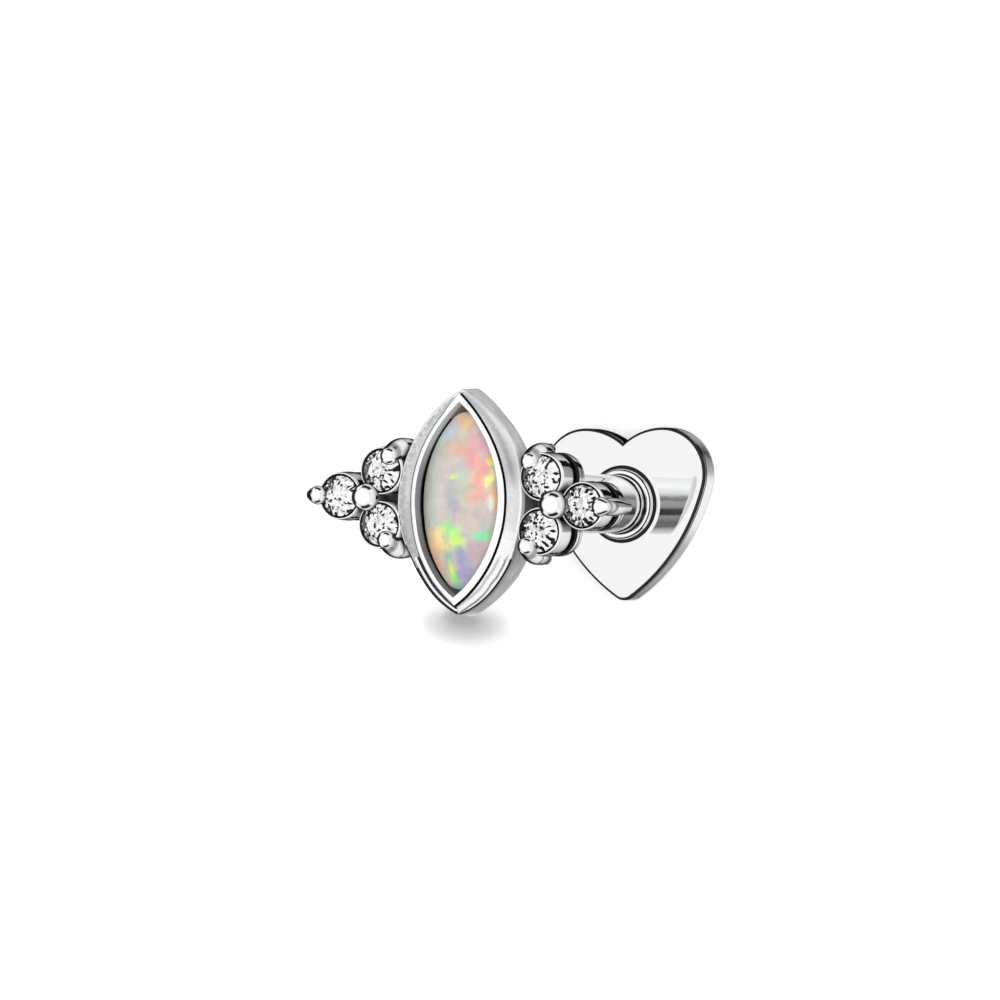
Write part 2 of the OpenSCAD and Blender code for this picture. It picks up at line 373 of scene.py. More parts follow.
# The same between the horizon and the table: dark behind the stud, which draws the outlines of the beads
LOW_TONES = [(-180, 0.05), (-128, 0.05), (-108, 0.95), (108, 0.95), (128, 0.05), (180, 0.05)]
# The same for what is mirrored twice, at the height of the upper screens
SCREEN_TONES = [
    (-180, 0.82), (-150, 0.72), (-135, 0.67), (-125, 0.6), (-118, 0.5), (-110, 0.36), (-102, 0.21),
    (-96, 0.116), (-88, 0.17), (-75, 0.13), (-62, 0.17), (-48, 0.235), (-43, 0.22), (-39, 0.09),
    (-35, 0.018), (-28, 0.045), (-20, 0.036), (-15, 0.09), (-10, 0.2), (-6, 0.265), (4, 0.29),
    (15, 0.3), (20, 0.22), (24, 0.168), (28, 0.19), (35, 0.3), (40, 0.45), (45, 0.6), (54, 0.74),
    (70, 0.85), (82, 1.0), (180, 1.0),
]


def tone_by_azimuth(n, turn, table):
    """The tone of a table of azimuths; turn runs from 0 to 1 round the horizon."""
    node = n.new("ShaderNodeValToRGB", {"Fac": turn})
    stops = node.color_ramp.elements
    for azimuth, _ in table[1:-1]:
        stops.new(azimuth / 360 + 0.5)
    for stop, (_, tone) in zip(stops, table):
        stop.color = (tone, tone, tone, 1)
    return n.split(node.outputs["Color"])[0]


def make_world():
    """A white tent above, a horizon of light and dark screens, and a table that is darker right below.
    Heights are sines of the elevation."""
    world = bpy.data.worlds.new("studio")
    bpy.context.scene.world = world
    world.use_nodes = True
    world.cycles.sampling_method = "NONE"
    n = Nodes(world.node_tree)
    x, y, height = n.split(n.new("ShaderNodeTexCoord").outputs["Generated"])
    turn = n.math("MULTIPLY_ADD", n.math("ARCTAN2", y, x), 1 / TURN, 0.5)
    path = n.new("ShaderNodeLightPath").outputs
    horizon = tone_by_azimuth(n, turn, HORIZON_TONES)
    low = n.times(n.ramp(height, -0.8, -0.66), tone_by_azimuth(n, turn, LOW_TONES))
    table = n.times(tone_by_azimuth(n, turn, TABLE_TONES), n.ramp(height, -0.74, -0.8))
    table = n.math("MAXIMUM", table, low)
    over, under = n.ramp(height, 0.16, 0.36), n.ramp(height, -0.18, -0.34)
    level = n.minus(1.0, n.plus(over, under))
    # the upper screens are there only for what is mirrored twice
    twice = n.math("GREATER_THAN", path["Glossy Depth"], 1.5)
    twice = n.times(twice, n.math("COMPARE", height, SCREEN_HEIGHT, 0.05))
    screens = n.times(tone_by_azimuth(n, turn, SCREEN_TONES), SCREEN_LIGHT)
    tent = n.times(over, n.ramp(height, 0.3, 0.62, 0.74, 1.0), STUDIO_WHITE, n.blend(twice, 1.0, screens))
    tone = n.plus(tent, n.times(under, table), n.times(level, horizon))
    # what is neither mirrored nor seen through a stone is lit evenly, and the camera sees a backdrop
    mirrored = n.math("MAXIMUM", path["Is Glossy Ray"], path["Is Transmission Ray"])
    tone = n.blend(path["Is Camera Ray"], n.blend(mirrored, FLOOR_LIGHT, tone), BACKDROP)
    back = n.new("ShaderNodeBackground", {"Color": WHITE, "Strength": tone})
    n.new("ShaderNodeOutputWorld", {"Surface": back.outputs[0]})


def make_key_light():
    data = bpy.data.lights.new("key", "SUN")
    data.energy = KEY_POWER
    data.angle = KEY_SPREAD
    lamp = add_object("key", data)
    lamp.rotation_mode = "QUATERNION"
    lamp.rotation_quaternion = Vector(KEY_TOWARD).normalized().to_track_quat("Z", "Y")
    lamp.visible_glossy = False


def flat_piece(name, corners, material):
    """One flat face with its corners in millimetres."""
    mesh = bpy.data.meshes.new(name)
    mesh.from_pydata([tuple(c * MM for c in p) for p in corners], [], [tuple(range(len(corners)))])
    mesh.materials.append(material)
    return add_object(name, mesh)


def make_floor():
    values = {"Base Color": WHITE, "Roughness": 0.9, "Specular IOR Level": 0.0}
    values |= {"Emission Color": WHITE, "Emission Strength": FLOOR_GLOW}
    r = FLOOR_REACH
    corners = [(-r, -r, 0), (r, -r, 0), (r, r, 0), (-r, r, 0)]
    floor = flat_piece("floor", corners, new_material("pale_floor", values)[0])
    floor.visible_glossy = False


def make_shadow_cards():
    """Black cards that only the light sees."""
    black = new_material("black_card", {"Base Color": BLACK, "Specular IOR Level": 0.0})[0]
    for k, ((x, y, z), wide, deep) in enumerate(SHADOW_CARDS):
        turns = [TURN * i / CARD_SIDES for i in range(CARD_SIDES)]
        ring = [(x + wide * math.cos(t), y + deep * math.sin(t), z) for t in turns]
        card = flat_piece("shadow_card_%d" % k, ring, black)
        card.visible_camera = card.visible_glossy = card.visible_transmission = False


make_camera()
make_world()
make_key_light()
make_floor()
make_shadow_cards()
bpy.context.scene.view_settings.view_transform = "Standard"


# Metals
STEEL = (0.93, 0.935, 0.94)
STEEL_TINT = (0.985, 1.0, 1.01)


def metal(name, tone, rough, wave=0.35, wave_scale=2.2, edge=0.15, crease=0.3, shade=None):
    """Polished metal: a slow waviness and a fine grain in the surface, small change of gloss and
    less mirroring at a grazing view. Creases get painted shade, and shade paints shade by the place."""
    m, n, shader = new_material(name, {"Metallic": 1.0, "Specular Tint": (edge, edge, edge)})
    where = n.object_mm()
    slow = n.noise(where, wave_scale)
    grain = n.noise(where, 26.0, 3.0, 0.6)
    colour = n.mix(n.ramp(grain, 0.3, 0.7), tuple(t * 0.97 for t in tone), tone)
    # painted shade: the colour darkens where other surfaces are near, as in creases
    if crease:
        colour = n.mix(n.open_share(crease), tuple(t * 0.03 for t in tone), colour)
    # painted shade by the place, where a shade is given
    if shade is not None:
        colour = n.mix(shade(n, where), BLACK, colour)
    height = n.plus(n.times(slow, wave), n.times(grain, 0.012))
    n.fill(shader, {
        "Base Color": colour,
        "Roughness": n.ramp(grain, 0.3, 0.7, rough * 0.8, rough * 1.3),
        "Normal": n.bump(height, 0.25, 0.05),
    })
    return m


def soft_metal(name, tone_of, rough, share, bump=0.3):
    """Hand-worked metal, a mirror only by its share, whose tone changes from place to place
    with the painted light and shade of tone_of and a fine random grain.
    """
    values = {"Metallic": share, "Roughness": rough, "Specular IOR Level": 0.2}
    m, n, shader = new_material(name, values | {"Specular Tint": (0.7, 0.7, 0.7)})
    where = n.object_mm()
    grain = n.noise(where, 22.0, 3.0, 0.6)
    hammer = n.noise(where, 6.0)
    tone = n.times(tone_of(n, where), n.ramp(grain, 0.3, 0.7, 0.93, 1.06))
    colour = n.new("ShaderNodeCombineColor", {k: n.times(tone, tint) for k, tint in enumerate(STEEL_TINT)})
    height = n.plus(n.times(hammer, 0.9), n.times(grain, 0.1))
    n.fill(shader, {"Base Color": colour.outputs[0], "Normal": n.bump(height, bump, 0.03)})
    return m


def across_shoulder(n, x, y):
    """Distance across the shoulder, from the lens's own arcs."""
    far = n.hypot(n.plus(n.math("ABSOLUTE", x), BODY_C), n.plus(y, BODY_DROP))
    return n.minus(far, BODY_R - SHOULDER_W)


# Painted reflection and painted shade on the shoulder
def shoulder_painted_light_tone(n, where):
    x, y, _ = n.split(where)
    across = across_shoulder(n, x, y)
    # right side: painted reflection, grey above with a darker lane in its middle, white below with two dark
    # streaks
    high, low = n.ramp(y, 0.15, 0.7), n.ramp(y, -0.95, -1.15)
    mild, grey = n.ramp(across, 0.02, 0.28, 0.77, 0.69), n.ramp(y, 0.6, 1.7, 0.58, 0.78)
    lane = n.times(n.peak(across, 0.19, 0.12), high, 0.38)
    wander = n.plus(across, n.times(n.noise(where, 3.0, 1.0), 0.06))
    streaks = n.plus(n.times(n.peak(wander, 0.15, 0.05), 0.45), n.times(n.peak(wander, 0.28, 0.035), 0.75))
    right = n.times(n.blend(high, mild, grey), n.minus(1.0, lane), n.ramp(y, -0.3, -0.75, 1.0, 1.26))
    right = n.times(right, n.minus(1.0, n.times(streaks, low)))
    # left side: painted shade, grey, darker in random patches towards its outer edge and lighter at its inner
    # edge
    spots = n.ramp(n.noise(where, 9.0, 3.0, 0.65), 0.42, 0.62, 0.72, 1.12)
    patches = n.blend(n.ramp(across, 0.1, 0.3), 1.0, spots)
    left = n.times(n.ramp(y, -0.5, 0.2, 0.52, 0.66), patches, n.ramp(across, 0.1, 0.02, 1.0, 1.2))
    return n.blend(n.ramp(x, -0.1, 0.1), left, right)


def wall_painted_shade_tone(n, where):
    """Painted shade: mid grey on the upper half; dark towards the front on the lower half,
    but for its tip, which gets a painted highlight.
    """
    _, y, z = n.split(where)
    height = n.minus(z, HEAD_Z)
    upper = n.times(n.ramp(height, 0.2, 0.85, 0.5, 0.62), n.ramp(y, 1.1, 1.6, 1.0, 0.8))
    lower = n.times(n.ramp(height, 0.55, 0.82, 0.4, 0.2), n.ramp(height, 0.3, 0.05, 1.0, 1.05))
    lower = n.times(lower, n.ramp(y, -2.12, -2.24, 1.0, 1.9))
    streak = n.noise(where, 5.0, squeeze=(1, 0.4, 1.6))
    tone = n.blend(n.ramp(y, -0.5, -1.0), upper, lower)
    return n.times(tone, n.ramp(streak, 0.35, 0.65, 0.88, 1.1))


def inner_painted_shade_tone(n, where):
    """Painted shade inside the bezel: nearly black below the opal's edge,
    grey near the rim and lightest at the upper tip.
    """
    _, y, z = n.split(where)
    tone = n.ramp(n.minus(z, HEAD_Z), 0.8, 0.88, 0.04, 0.34)
    tone = n.times(tone, n.ramp(y, -1.0, -0.2, 0.6, 1.0), n.ramp(y, 0.4, 1.3, 1.0, 1.7))
    return n.math("MAXIMUM", tone, n.ramp(y, 1.45, 1.65, 0.0, 0.2))


def glint_painted_highlight_tone(n, where):
    """Painted highlight on the shoulder's edge: white beside the clusters, fading into the grey
    above them on the right.
    """
    x, y, _ = n.split(where)
    fade = n.times(n.ramp(y, 0.1, 0.6, 1.0, 0.76), n.ramp(y, 1.2, 1.9, 1.0, 0.8))
    return n.times(n.blend(n.ramp(x, -0.1, 0.1), 1.0, fade), 0.95)


def hollow_painted_shade_tone(n, where):
    """Painted shade in each hollow between the cups and the bezel: dark grey, lighter towards
    the bottom and varying at random.
    """
    _, y, _ = n.split(where)
    return n.times(n.ramp(y, 0.1, -0.25, 0.04, 0.1), n.ramp(n.noise(where, 7.0), 0.35, 0.65, 0.7, 1.3))


def bead_shade(n, where):
    """Bright on top of the beads and claws, with painted shade round their widest part."""
    _, _, z = n.split(where)
    height = n.minus(z, HEAD_Z)
    return n.math("MAXIMUM", n.ramp(height, 1.0, 1.14, 0.4, 1.0), n.ramp(height, 0.97, 0.87, 0.4, 1.0))


def side_shade(n, where):
    """Painted shade: grey near the top of the heart's side and again towards its tip."""
    _, y, _ = n.split(where)
    lower = n.times(n.ramp(y, -0.3, -0.9, 1.0, 0.5), n.ramp(y, -1.5, -1.9, 1.0, 0.8))
    return n.times(n.ramp(y, 1.35, 0.65, 0.3, 1.0), lower)


BRIGHT = metal("polished_metal", STEEL, 0.05)
POLISHED = metal("polished_back", STEEL, 0.05, edge=0.7, crease=0.15)
FACE = metal("back_plate_face", (0.82, 0.825, 0.825), 0.04, wave=0.15, edge=1.0, crease=0.1)
SIDE = metal("heart_side_painted_shade", STEEL, 0.28, wave=0.3, edge=1.0, crease=0.15, shade=side_shade)
SEAT = metal("cup_seat", (0.9, 0.9, 0.91), 0.12, edge=1.0, crease=0)
BEAD = metal("bead_metal_painted_shade", STEEL, 0.06, wave=0.5, wave_scale=4.0, shade=bead_shade)
# Near-black metals: painted shade in grooves, gaps and recesses, and painted dark reflections on edges
DARK = metal("painted_shade_groove", (0.02, 0.02, 0.022), 0.3, crease=0)
LINE = metal("painted_shade_line", (0.03, 0.03, 0.032), 0.25, crease=0)
# Their tones hold painted light: reflection, highlight and shade painted by the place
SHOULDER = soft_metal("shoulder_metal_painted_light", shoulder_painted_light_tone, rough=0.35, share=0.3, bump=0.35)
SATIN = soft_metal("satin_wall_painted_shade", wall_painted_shade_tone, rough=0.4, share=0.25)
INNER = soft_metal("inner_wall_painted_shade", inner_painted_shade_tone, rough=0.4, share=0.2, bump=0.1)
GLINT = soft_metal("painted_highlight_edge", glint_painted_highlight_tone, rough=0.2, share=0.3, bump=0.05)
HOLLOW = soft_metal("hollow_metal_painted_shade", hollow_painted_shade_tone, rough=0.4, share=0.2, bump=0.2)


# Heart back
FRONT_EDGE, BACK_EDGE, EDGE_STEPS = 0.05, 0.06, 6
MARGIN, MARGIN_FALL, MARGIN_STEPS = 0.2, 0.027, 10
# The stretch of the side, left of the notch, that gets painted shade, and where it ends below
NOTCH_DARK, NOTCH_DARK_Y = (-0.95, -0.05), 1.05
POST_SIDES = 128
# The collar's section: radius over COLLAR_R, height over the heart's face, corner radius, look
# Its dark rings are painted reflection
COLLAR = [
    (0.13, -0.05, 0, FACE),
    (0.13, 0.001, 0, FACE),
    (0.06, 0.024, 0, DARK),
    (0.03, 0.024, 0, DARK),
    (0.0, 0.04, 0, POLISHED),
    (0.0, 0.075, 0, POLISHED),
    (-0.03, 0.125, 0.03, DARK),
    (-0.05, 0.142, 0.01, POLISHED),
    (-0.075, COLLAR_H, 0.02, POLISHED),
]


def heart_arcs(inset):
    """Arcs of the heart's outline moved in by inset: centre, radius, start, end and points."""
    side_x = LOBE_X - (SIDE_R - LOBE_R) * math.cos(SIDE_ANGLE)
    side_y = LOBE_Y + (SIDE_R - LOBE_R) * math.sin(SIDE_ANGLE)
    tip_y = side_y - math.sqrt((SIDE_R - TIP_R) ** 2 - side_x**2)
    tip_angle = math.atan2(tip_y - side_y, -side_x)
    top_y = LOBE_Y + LOBE_R
    drop = top_y - NOTCH_Y
    brow_r = (LOBE_X**2 + drop**2) / (2 * drop)
    brow = brow_r - inset
    notch = math.pi - math.acos(LOBE_X / brow)
    return [
        (LOBE_X, top_y - brow_r, brow, notch, math.pi / 2, 26),
        (LOBE_X, LOBE_Y, LOBE_R - inset, math.pi / 2, -SIDE_ANGLE, 60),
        (side_x, side_y, SIDE_R - inset, -SIDE_ANGLE, tip_angle, 50),
        (0.0, tip_y, TIP_R - inset, tip_angle, -math.pi / 2, 12),
    ]


def heart_loop(inset):
    """Anticlockwise outline of the heart from its notch, turned a little on the post as in the photo."""
    arcs = heart_arcs(inset)
    right = [point for arc in arcs for point in arc_points(*arc)]
    cx, cy, r, _, end, _ = arcs[-1]
    tip = (cx + r * math.cos(end), cy + r * math.sin(end))
    left = [(-x, y) for x, y in right]
    loop = np.array(left + [tip] + list(reversed(right[1:])))
    c, s = math.cos(HEART_TURN), math.sin(HEART_TURN)
    x, y = loop[:, 0] * HEART_WIDE, loop[:, 1]
    return np.column_stack([c * x - s * y, s * x + c * y])


def side_look(ring, i):
    """The heart's side gets painted shade on the left of its notch."""
    x, y, _ = ring[i]
    return LINE if NOTCH_DARK[0] < x < NOTCH_DARK[1] and y > NOTCH_DARK_Y else SIDE


def make_heart_plate(shell):
    """The plate from its back up: rounded edge, side, rounded edge and polished face."""
    quarter = [math.pi / 2 * k / EDGE_STEPS for k in range(EDGE_STEPS + 1)]
    rings, looks = [], []

    def ring(inset, z, look):
        rings.append(at_height(heart_loop(inset), z))
        looks.append(look)

    ring(BACK_EDGE + 0.01, 0.0, FACE)
    for t in quarter:
        ring(BACK_EDGE * (1 - math.sin(t)), BACK_EDGE * (1 - math.cos(t)), side_look)
    # a painted dark reflection as a line near the top of the side
    for z, look in ((0.15, side_look), (0.25, side_look), (0.365, LINE), (0.405, POLISHED)):
        ring(0.0, z, look)
    edge_z = HEART_T - MARGIN_FALL
    # the front edge is a painted dark reflection
    for t in quarter:
        ring(FRONT_EDGE * (1 - math.cos(t)), edge_z - FRONT_EDGE * (1 - math.sin(t)), LINE)
    # the face falls off a little towards its edge
    for k in range(MARGIN_STEPS + 1):
        share = k / MARGIN_STEPS
        ring(FRONT_EDGE + 0.006 + MARGIN * share, HEART_T - MARGIN_FALL * (1 - share) ** 2, FACE)
    ring(FRONT_EDGE + 0.03 + MARGIN, HEART_T, FACE)
    shell.loft(rings, looks, (FACE, FACE))


def make_post(shell):
    """The collar and the post, closed at the head's end but for the pin's bore."""
    bore_r, top, bottom = PIN_R + GAP, HEAD_Z - GAP, HEAD_Z - PIN_LENGTH - GAP
    profile = [(COLLAR_R + over, HEART_T + up, corner, look) for over, up, corner, look in COLLAR]
    profile += [
        # painted shade where the post stands on the collar, and in the pin's bore
        (POST_R + 0.025, HEART_T + COLLAR_H, 0, DARK),
        (POST_R, HEART_T + COLLAR_H, 0, POLISHED),
        (POST_R, top, 0.03, POLISHED),
        (bore_r, top, 0.03, DARK),
        (bore_r, bottom, 0, DARK),
        (0.0, bottom, 0, DARK),
    ]
    lathe(shell, profile, POST_SIDES)


def make_heart_back():
    shell = Shell()
    make_heart_plate(shell)
    make_post(shell)
    return shell.build("heart_back_polished", [POLISHED, SIDE, LINE, DARK, FACE])


# Bezel
# Its outlines are moved sideways, as work by hand does: places along y and the moves there
HAND_Y = [-2.3, -1.6, -1.0, -0.4, 0.4, 1.2, 1.7, 2.3]
OPEN_LEFT = [0, -0.06, -0.065, -0.05, -0.06, -0.05, -0.04, -0.11]
OPEN_RIGHT = [0, 0, 0, 0, 0, 0, 0, -0.07]
RIM_RIGHT = [0, 0, 0, 0, -0.01, -0.045, -0.06, -0.1]
BODY_LEFT = [0, 0, -0.02, -0.06, -0.06, -0.06, -0.05, -0.05]
BODY_RIGHT = [0, 0, 0, 0, 0.02, 0.09, 0.05, -0.05]
DEEP_RIGHT = [0, 0, 0, 0, -0.04, -0.19, -0.18, -0.03]
PUSH_REACH, BORE_LEAN = 0.2, 0.9
OPEN_TIP_R, RIM_TIP_R, BODY_TIP_R = 0.004, 0.03, 0.14
GROOVE_W = 0.026
# Where the painted shade lines begin or end along y; the ridge's are for the right and the left
GROOVE_END, LINES_START, RIDGE_START = -1.05, -1.12, (-1.12, -0.86)
# Shares across the shoulder that get a painted highlight, and the slant of the painted lines' start
GLINT_FROM, GLINT_TO, RIDGE_SLANT = 0.38, 0.7, 1.6
LEFT_X, HOLLOW_HALF, BORE_TIP_Y = -0.03, 0.34, 1.6
# Softness of the shoulder's edge by y, and the shares across the shoulder that get a ring
SOFT_Y, SOFT_W = [-1.1, -0.7, 0.4, 1.4], [0.02, 0.05, 0.05, 0.08]
SHOULDER_SHARES = (0.15, 0.3, 0.38, 0.5, 0.6, 0.7, 0.9, 0.97, 1.0)
WALL_TOP, WALL_HEIGHTS = 0.8, (0.78, 0.7, 0.62, 0.52, 0.45, BACK_DEEP)
ROUND_STEPS = 8


def shoulder_z(loop):
    """The shoulder falls outwards below the clusters and lies nearly flat beside and above them."""
    rho = np.hypot(np.abs(loop[:, 0]) + BODY_C, loop[:, 1] + BODY_DROP)
    share = np.clip((rho - (BODY_R - SHOULDER_W)) / SHOULDER_W, 0, 1)
    return SHOULDER_TOP - np.interp(loop[:, 1], [-1.2, -0.6], [SHOULDER_H, 0.02]) * share


def pushed(loop, left, right):
    """The outline moved sideways by amounts that follow y, one list for each side."""
    x, y = loop[:, 0], loop[:, 1]
    side = np.clip(0.5 + x / (2 * PUSH_REACH), 0, 1)
    move = np.interp(y, HAND_Y, left) * (1 - side) + np.interp(y, HAND_Y, right) * side
    return np.column_stack([x + move, y])


def with_raised_tip(loop, raise_by, start, end):
    """The outline with its points beyond start moved along y, fully from end on."""
    y = loop[:, 1]
    share = np.clip((y - start) / (end - start), 0, 1)
    return np.column_stack([loop[:, 0], y + raise_by * share * share])


def band_look(plain, lower, start=LINES_START):
    """One look on the lower left from start down, plain elsewhere."""
    return lambda ring, i: lower if ring[i][0] < 0 and ring[i][1] < start else plain


def ridge_look(plain):
    """A painted dark reflection along the ridge on the lower part, plain metal above."""
    return lambda ring, i: LINE if ring[i][1] < RIDGE_START[0 if ring[i][0] > 0 else 1] else plain


def on_upper_left(ring, i):
    return ring[i][0] < LEFT_X and ring[i][1] > GROOVE_END


def groove_look(ring, i):
    """The groove at the rim's foot gets painted shade, which fades out on the upper left."""
    return SHOULDER if on_upper_left(ring, i) else DARK


def rim_edge_look(ring, i):
    """The rim's outer edge gets a soft painted highlight on the upper left, and is polished elsewhere."""
    return GLINT if on_upper_left(ring, i) else BRIGHT


def bore_look(ring, i):
    """The foot of the inner wall gets painted shade but for the bezel's tips."""
    return INNER if abs(ring[i][1]) > BORE_TIP_Y else DARK


def wall_look(ring, i):
    """The wall gets painted shade in the hollows behind the beads."""
    return HOLLOW if abs(ring[i][1]) < HOLLOW_HALF else SATIN


def opening_bands(open_loop, lean_loop, out):
    """The inner wall and the rim's inner edge, bottom up: outlines, heights and looks."""
    bore_loop = open_loop + (lean_loop - open_loop) * BORE_LEAN
    yield bore_loop, FLOOR_T, bore_look
    for share in (0.0, 0.3, 0.65):
        yield bore_loop + (lean_loop - bore_loop) * share, 0.8 + 0.238 * share, INNER
    for over, drop in ((0.0, 0.012), (0.004, 0.003), (0.012, 0.0)):
        yield lean_loop + out * over, HEAD_H - drop, BRIGHT


def rim_bands(lean_loop, rim_loop, out):
    """The rim, slightly crowned, its outer edge and the groove at its foot."""
    for share in (0.2, 0.4, 0.6, 0.8):
        crown = 0.02 * share * (1 - share)
        yield lean_loop + (rim_loop - lean_loop) * share, HEAD_H - RIM_FALL * share + crown, BRIGHT
    rim_z = HEAD_H - RIM_FALL
    yield rim_loop - out * 0.012, rim_z, rim_edge_look
    yield rim_loop - out * 0.003, rim_z - 0.004, rim_edge_look
    yield rim_loop, rim_z - 0.014, groove_look
    sunk = np.array([0.0 if on_upper_left(rim_loop, i) else 1.0 for i in range(len(rim_loop))])
    for wide, deep in ((0.0, 0.02), (0.012, 0.024)):
        loop = rim_loop + out * wide
        yield loop, shoulder_z(loop) - deep * sunk, groove_look
    loop = rim_loop + out * GROOVE_W
    yield loop, shoulder_z(loop), band_look(SHOULDER, LINE)


def shoulder_bands(start_loop, body_loop, out):
    """The shoulder with its painted dark lines and a painted highlight band on the lower left,
    then its edge, soft above and crisp below, with a painted highlight on its upper half.
    """
    soft = np.interp(body_loop[:, 1], SOFT_Y, SOFT_W)[:, None]
    edge_in = body_loop - out * soft
    for share in SHOULDER_SHARES:
        loop = start_loop + (edge_in - start_loop) * share
        lower = GLINT if GLINT_FROM <= share < GLINT_TO else LINE
        start = RIDGE_START[1] - RIDGE_SLANT * (1 - share) if share >= GLINT_TO else LINES_START
        yield loop, shoulder_z(loop), band_look(SHOULDER, lower, start)
    foot = shoulder_z(body_loop) - soft[:, 0]
    start_z = shoulder_z(edge_in)
    for k in range(1, ROUND_STEPS + 1):
        t = k / ROUND_STEPS
        loop = edge_in * (1 - t) ** 2 + body_loop * (1 - (1 - t) ** 2)
        z = start_z * (1 - t) ** 2 + (foot + soft[:, 0]) * 2 * t * (1 - t) + foot * t * t
        yield loop, z, ridge_look(GLINT if t <= 0.5 else SATIN)
    yield body_loop, foot - 0.035, ridge_look(SATIN)
    yield body_loop, foot - 0.04, SATIN


def wall_bands(body_loop, deep_loop, out):
    """The wall, whose front outline blends into the back one, and its rounded back edge."""

    def outline(z):
        return body_loop + (deep_loop - body_loop) * (WALL_TOP - z) / WALL_TOP

    for z in WALL_HEIGHTS:
        yield outline(z), z, wall_look
    back_in = np.interp(np.abs(body_loop[:, 1]), [1.5, 2.1], [BACK_R, 0.26])[:, None]
    for k in range(1, ROUND_STEPS + 1):
        t = math.pi / 2 * k / ROUND_STEPS
        z = BACK_DEEP * (1 - math.sin(t))
        yield outline(z) - out * back_in * (1 - math.cos(t)), z, SATIN


def make_bezel(shell):
    open_loop, open_out = lens_loop(OPEN_C, 0.0, OPEN_R, OPEN_TIP_R)
    rim_loop, rim_out = lens_loop(OPEN_C, 0.0, RIM_R, RIM_TIP_R)
    body_loop, body_out = lens_loop(BODY_C, -BODY_DROP, BODY_R, BODY_TIP_R)
    lean_loop = with_raised_tip(pushed(open_loop, OPEN_LEFT, OPEN_RIGHT), 0.045, 1.3, 1.9)
    rim_loop = with_raised_tip(pushed(rim_loop, OPEN_LEFT, RIM_RIGHT), 0.06, 1.4, 2.05)
    body_loop = pushed(body_loop, BODY_LEFT, BODY_RIGHT)
    deep_loop = pushed(with_raised_tip(body_loop, 0.04, 1.6, 2.2), [0.0] * len(HAND_Y), DEEP_RIGHT)
    body_loop = with_raised_tip(body_loop, 0.07, -1.7, -2.28)
    bands = [
        *opening_bands(open_loop, lean_loop, open_out),
        *rim_bands(lean_loop, rim_loop, rim_out),
        *shoulder_bands(rim_loop + rim_out * GROOVE_W, body_loop, body_out),
        *wall_bands(body_loop, deep_loop, body_out),
    ]
    rings = [at_height(loop, z + HEAD_Z) for loop, z, _ in bands]
    looks = [look for _, _, look in bands]
    # the floor of the opening, under the opal, gets painted shade
    shell.loft(rings[::-1], looks[-2::-1], (BRIGHT, DARK))


# Trefoils
CUP_TURNS = {"outer": 0.0, "upper": 120.0, "lower": -120.0}
CLAW_TIP, CLAW_FOOT = (1.555, 0.82, 1.03), (1.54, 1.06, 0.2)
CLAW_FOOT_R, CLAW_SWELL = 0.12, 0.09
OUTER_TIP, OUTER_FOOT = (3.14, 0.0, 1.03), (3.22, 0.0, 0.14)
OUTER_FOOT_R, OUTER_NECK_R, OUTER_SWELL, POINT_REACH = 0.12, 0.15, 0.04, 0.235
BAR_X, BAR_HALF, BAR_LOW, BAR_HIGH = 1.15, 0.09, 0.1, 0.46
TIP_STEPS = 12
CUP_SIDES, BEAD_POST_SIDES, PIN_SIDES = 72, 40, 64


def cup_centre(side, place):
    turn = math.radians(CUP_TURNS[place])
    return side * (TREFOIL_X + TREFOIL_R * math.cos(turn)), TREFOIL_R * math.sin(turn)


def cup_profile():
    """Section of a setting cup: back, rail, groove, upper wall, lip and seat; a line on the rail,
    the groove and the seat get painted shade.
    """
    lip_z = GIRDLE_Z + GIRDLE_T
    rail_r, groove_r, lip_r, seat_r = CUP_R - 0.005, CUP_R - 0.05, CUP_R - 0.025, STONE_R + GAP
    return [
        (CUP_BORE_R, 0.0, 0.02, BRIGHT),
        (rail_r, 0.0, 0.07, BRIGHT),
        (rail_r, 0.14, 0.0, DARK),
        (rail_r, 0.17, 0.0, BRIGHT),
        (rail_r, 0.27, 0.02, DARK),
        (groove_r, 0.27, 0.01, DARK),
        (groove_r, 0.52, 0.01, DARK),
        (CUP_R, 0.52, 0.02, BRIGHT),
        (CUP_R, 0.62, 0.1, BRIGHT),
        (CUP_R - 0.005, 0.76, 0.1, BRIGHT),
        (CUP_R - 0.013, 0.88, 0.05, BRIGHT),
        (lip_r, lip_z + 0.004, 0.012, BRIGHT),
        (seat_r + 0.02, lip_z + 0.004, 0.003, DARK),
        (seat_r, lip_z - 0.012, 0, DARK),
        (seat_r, GIRDLE_Z - GAP, 0, DARK),
        (CUP_BORE_R, GIRDLE_Z - 0.3, 0.02, SEAT),
        (CUP_BORE_R, 0.0, 0, SEAT),
    ]


def make_bead(shell, x, rows=28, n=56):
    """The middle bead on its post."""
    rings = []
    for k in range(1, rows):
        t = math.pi * k / rows
        rings.append(circle_ring(BEAD_R * math.sin(t), HEAD_Z + BEAD_Z - BEAD_R * math.cos(t), n, x))
    shell.loft(rings, BEAD, (BEAD, BEAD))
    stops = ((0.0, 0.0, 0), (BEAD_POST_R, 0.0, 0.03), (BEAD_POST_R, BEAD_Z, 0), (0.0, BEAD_Z, 0))
    lathe(shell, [(*stop, BRIGHT) for stop in stops], BEAD_POST_SIDES, x, 0.0, HEAD_Z)


def sweep(shell, line, radii, look, n=48):
    """A closed tube round a line of points."""
    line = [Vector(p) for p in line]
    rings = []
    side = (line[1] - line[0]).normalized().orthogonal().normalized()
    for i, p in enumerate(line):
        ahead = (line[min(i + 1, len(line) - 1)] - line[max(i - 1, 0)]).normalized()
        side = (side - ahead * side.dot(ahead)).normalized()
        other = ahead.cross(side)
        turns = [TURN * k / n for k in range(n)]
        rings.append([tuple(p + (side * math.cos(t) + other * math.sin(t)) * radii[i]) for t in turns])
    shell.loft(rings, look, (look, look))


